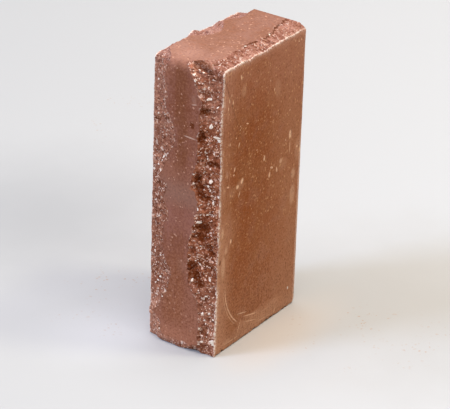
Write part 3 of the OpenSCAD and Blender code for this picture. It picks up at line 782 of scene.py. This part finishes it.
# then the bright grains, from the commonest to the largest stones
break_colour = blend(step(small, 0.91, 0.93) * 0.7 * pale, break_colour, srgb(236, 182, 150))
lit = blend(attribute("header"), srgb(252, 222, 203), srgb(234, 208, 196))
break_colour = blend(step(tiny, 0.915, 0.935) * (0.5 + calm * 0.45) * seen, break_colour, lit)
break_colour = blend(step(packed, 0.965, 0.975) * 0.8 * pale, break_colour, srgb(240, 200, 180))
break_colour = blend(step(large, 0.985, 0.99) * pale, break_colour, srgb(250, 230, 214))
break_colour = blend(step(1 - large, 0.99, 0.994) * 0.5, break_colour, srgb(190, 118, 88))
stone_edge = attribute("grain") + (crumb - 0.5) * 0.8
break_colour = blend(step(stone_edge, 0.4, 0.7), break_colour, srgb(254, 236, 220))

# all together, with the crushed lines on the arrises over the rest
edge_noise = step(noise(1.5, 3.0, shift=40.0), 0.42, 0.56)
crumbled_foot = step(7.5 - in_z + (blotch - 0.5) * 10, 0.0, 1.5) * is_facing
colour = blend(is_broken + crumbled_foot * (1 - is_broken) * 0.85, skin_colour, break_colour)
whiter = attribute("header") * 0.4 + step(58 - in_z, 0.0, 8.0) * 0.45 * step(in_x, 0.0, 10.0)
crushed_here = attribute("crushed") * (0.4 + 0.6 * edge_noise + whiter)
colour = blend(crushed_here, colour, blend(edge_noise, srgb(218, 164, 142), srgb(253, 232, 216)))
roughness = 0.6 + is_broken * 0.3 + fine * 0.1

skin_height = fine * 0.1 + drawn * 0.1 * (1 - is_facing) - pore * 0.2 - sunk_spot * 0.4
broken_height = (ledge * 1.9 + facet * 0.35 + crumb * 0.4) * calm
height = skin_height * (1 - is_broken) + broken_height * is_broken
bump = Tap.node("ShaderNodeBump", {}, {"Height": height, "Strength": 0.8, "Distance": 0.0007})
stone.node_tree.links.new(colour.socket, skin_shader.inputs["Base Color"])
stone.node_tree.links.new(roughness.socket, skin_shader.inputs["Roughness"])
stone.node_tree.links.new(bump.socket, skin_shader.inputs["Normal"])
skin_shader.inputs["Specular IOR Level"].default_value = 0.1
mesh.materials.append(stone)

# --- The table and the light -----------------------------------------------------------------------
# A white painted table top, a little dusty, unevenly lit by the lamps and by painted light and shadow in
# its colour,
# under a white tent: a warm soft lamp on the right, a weaker one in front of the bed, a cool one on the
# left and a broad one overhead.


def surface(name, colour):
    """A plain matt material of one colour."""
    made = bpy.data.materials.new(name)
    made.use_nodes = True
    shader = made.node_tree.nodes["Principled BSDF"]
    shader.inputs["Base Color"].default_value = colour
    shader.inputs["Roughness"].default_value = 0.9
    shader.inputs["Specular IOR Level"].default_value = 0.1
    return made


half_table = 4.0
top = bpy.data.meshes.new("table_top")
top.from_pydata(
    [(half_table * x, half_table * y, 0) for x, y in ((-1, -1), (1, -1), (1, 1), (-1, 1))], [],
    [(0, 1, 2, 3)])
top.materials.append(surface("white_table", srgb(197, 197, 197)))
Tap.tree = top.materials[0].node_tree
on_table = Tap.node("ShaderNodeTexCoord", out="Object")


def pool(x, y, wide, deep, turn=0.59):
    """A soft pool on the table round x, y with these half sizes in metres, turned by this angle: one in
    its middle, fading unevenly to nothing at its edge."""
    scaled = Tap.node("ShaderNodeMapping", {"vector_type": "TEXTURE"}, {
        "Vector": on_table, "Location": (x, y, 0), "Rotation": (0, 0, turn), "Scale": (wide, deep, 1)})
    near = Tap.node("ShaderNodeTexGradient", {"gradient_type": "SPHERICAL"}, {"Vector": scaled}, out="Fac")
    return step(near + (uneven - 0.5) * 0.3, 0.0, 1.0)


uneven = Tap.node("ShaderNodeTexNoise", {}, {"Vector": on_table, "Scale": 22.0, "Detail": 2.0}, out="Fac")
rightward = Tap.node("ShaderNodeVectorMath", {"operation": "DOT_PRODUCT"}, {
    0: on_table, 1: (0.833, 0.553, 0)}, out="Value")
# painted light: the table's colour grows paler towards the right
table_colour_with_painted_light = blend(step(rightward, -0.35, 0.3), srgb(187, 187, 187), srgb(199, 199, 199))
# painted shadow and light pools: x, y, half sizes, turn, strength and colour: a painted shadow on the left
# fringe, painted light on the left foreground, a painted shadow on the right fringe and painted warm bounce
# light by the bed's foot
for x, y, wide, deep, turn, strength, shade in (
        (-0.23, 0.06, 0.2, 0.19, 0.59, 0.85, (172, 172, 173)),
        (-0.05, -0.068, 0.1, 0.07, 1.0, 0.75, (208, 208, 210)),
        (0.125, 0.12, 0.2, 0.22, 0.59, 0.85, (184, 182, 179)),
        (0.052, 0.01, 0.045, 0.11, 0.0, 0.7, (210, 198, 186))):
    table_colour_with_painted_light = blend(pool(x, y, wide, deep, turn) * strength, table_colour_with_painted_light, srgb(*shade))
# crumbs of brick dust, strewn in three drifts
dust_bits = Tap.node("ShaderNodeTexVoronoi", {}, {"Vector": on_table, "Scale": 620.0}, out="Color")
dust_bits = step(Tap.node("ShaderNodeSeparateColor", {}, {0: dust_bits}), 0.955, 0.975)
strewn = pool(0.115, 0.05, 0.1, 0.08) + pool(-0.09, -0.03, 0.08, 0.09) * 0.8
strewn = strewn + pool(-0.3, 0.26, 0.05, 0.1) * 0.6
strewn = step(strewn, 0.05, 0.6) * step(uneven, 0.44, 0.6)
table_colour_with_painted_light = blend(dust_bits * strewn * 0.6, table_colour_with_painted_light, srgb(182, 148, 122))
Tap.tree.links.new(table_colour_with_painted_light.socket, Tap.tree.nodes["Principled BSDF"].inputs["Base Color"])
table = bpy.data.objects.new("table_top", top)
bpy.context.scene.collection.objects.link(table)

azimuth, elevation, roll = math.radians(33.888), math.radians(26.882), math.radians(1.844)
toward = np.array([
    math.sin(azimuth) * math.cos(elevation), -math.cos(azimuth) * math.cos(elevation), math.sin(elevation)])
right = np.array([math.cos(azimuth), math.sin(azimuth), 0.0])


def lamp(name, direction, distance, size, power, colour):
    """A square soft lamp at a distance along the direction, facing the middle of the brick."""
    data = bpy.data.lights.new(name, "AREA")
    data.size, data.energy, data.color = size, power, colour
    made = bpy.data.objects.new(name, data)
    z = np.array(direction) / np.linalg.norm(direction)
    made.location = z * distance + np.array([0, 0, 0.12])
    x = np.cross([0, 0, 1.0] if abs(z[2]) < 0.99 else [0, 1.0, 0], z)
    x /= np.linalg.norm(x)
    made.rotation_euler = Matrix(np.stack([x, np.cross(z, x), z], 1).tolist()).to_euler()
    bpy.context.scene.collection.objects.link(made)


level = np.array([toward[0], toward[1], 0.0]) / math.cos(elevation)
lamp("lamp_right", (0.542, 0.316, 1.0), 4.5, 0.7, 50.0, (1.0, 0.96, 0.70))
lamp("lamp_front", (1.0, -0.07, 0.85), 4.5, 0.9, 17.0, (0.98, 0.93, 0.86))
lamp("lamp_left", -right * 1.0 + level * 0.35 + [0, 0, 0.75], 5.0, 1.2, 131.0, (0.5, 0.68, 1.0))
lamp("lamp_top", level * 0.05 + [0, 0, 1.0], 4.0, 3.2, 165.0, (1.0, 0.93, 0.9))

world = bpy.data.worlds.new("tent")
bpy.context.scene.world = world
world.use_nodes = True
world.node_tree.nodes["Background"].inputs["Color"].default_value = (1.0, 1.0, 1.0, 1)
world.node_tree.nodes["Background"].inputs["Strength"].default_value = 0.36

# the camera looks at a point a little below the brick's middle, and is turned slightly about its own axis
lens = bpy.data.cameras.new("camera")
lens.sensor_width, lens.lens = 36.0, 199.76
look_height, aside, away = 0.10445, 0.00071, 2.001
upward = np.cross(right, -toward)
cam_x = math.cos(roll) * right + math.sin(roll) * upward
cam_y = -math.sin(roll) * right + math.cos(roll) * upward
stand = np.array([0, 0, look_height]) + cam_x * aside + toward * away
camera = bpy.data.objects.new("camera", lens)
camera.matrix_world = Matrix(
    np.vstack([np.stack([cam_x, cam_y, toward, stand], 1), [0, 0, 0, 1]]).tolist())
bpy.context.scene.collection.objects.link(camera)
bpy.context.scene.camera = camera
bpy.context.scene.view_settings.view_transform = "Standard"

bpy.context.view_layer.update()
